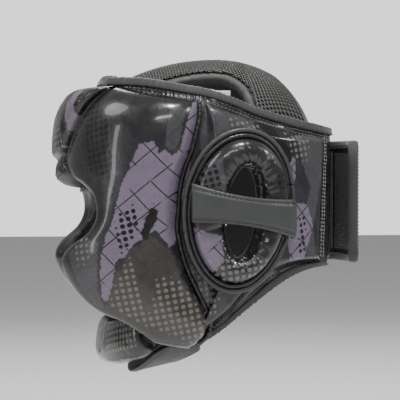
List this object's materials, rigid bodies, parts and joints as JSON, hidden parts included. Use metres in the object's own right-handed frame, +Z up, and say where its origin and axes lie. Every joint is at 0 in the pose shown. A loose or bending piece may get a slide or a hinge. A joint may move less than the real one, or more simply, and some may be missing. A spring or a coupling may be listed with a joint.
{
  "type": "boxing headgear",
  "caption": "Full-face padded head guard with ringed ear openings, a crown pad with side vents, a chin bar, a hook-and-loop back flap and a chin strap.",
  "frame": {"origin": "middle of the head cavity at the height of the ear holes", "axes": "+Z up as worn, -Y the wearer's front, +X the wearer's left"},
  "size_m": [0.2188, 0.25, 0.2575],
  "materials": {
    "leather_print": "glossy printed leather",
    "leather_matte": "matte leather",
    "tape": "matte woven binding tape",
    "lining": "brushed lining",
    "mesh": "open spacer mesh",
    "foam": "closed-cell foam",
    "hook": "hook and loop",
    "label": "satin label"
  },
  "bodies": {
    "shell": {"forehead_cover": "leather_print", "forehead_foam": "foam", "forehead_lining": "lining", "cheek_cover_left": "leather_print", "cheek_cover_right": "leather_print", "cheek_foam_left": "foam", "cheek_foam_right": "foam", "cheek_lining_left": "lining", "cheek_lining_right": "lining", "forehead_piping_left": "tape", "forehead_piping_right": "tape", "cheek_piping_left": "tape", "cheek_piping_right": "tape", "side_panel_left": "leather_print", "side_panel_right": "leather_print", "side_lining_left": "lining", "side_lining_right": "lining", "ear_ring_cover_left": "leather_print", "ear_ring_cover_right": "leather_print", "ear_ring_foam_left": "foam", "ear_ring_foam_right": "foam", "ear_piping_left": "tape", "ear_piping_right": "tape", "ear_strap_left": "leather_matte", "ear_strap_right": "leather_matte", "top_binding_left": "tape", "top_binding_right": "tape", "front_binding": "tape", "bottom_binding_left": "tape", "bottom_binding_right": "tape", "crown_mesh": "mesh", "crown_lining": "lining", "crown_binding_left": "tape", "crown_binding_right": "tape", "crown_back_binding": "tape", "loop_tab": "leather_matte", "loop_patch": "hook", "chin_cover": "leather_print", "chin_foam": "foam", "chin_loop_patch": "hook", "chin_anchor_left": "leather_matte", "chin_anchor_right": "leather_matte", "size_label": "label"},
    "back_flap": {"hook_flap": "leather_matte", "flap_binding": "tape", "hook_patch": "hook"},
    "chin_strap_body": {"chin_strap": "leather_matte", "chin_hook_patch": "hook"}
  },
  "joints": [
    {"name": "back_flap_hinge", "type": "hinge", "parent": "shell", "child": "back_flap", "pos_m": [-0.03619, 0.11001, 0], "axis": [0, 0, 1], "range_deg": [-8, 100]},
    {"name": "chin_strap_hinge", "type": "hinge", "parent": "shell", "child": "chin_strap_body", "pos_m": [-0.06468, -0.01913, -0.11408], "axis": [0, 1, 0], "range_deg": [0, 74]}
  ]
}
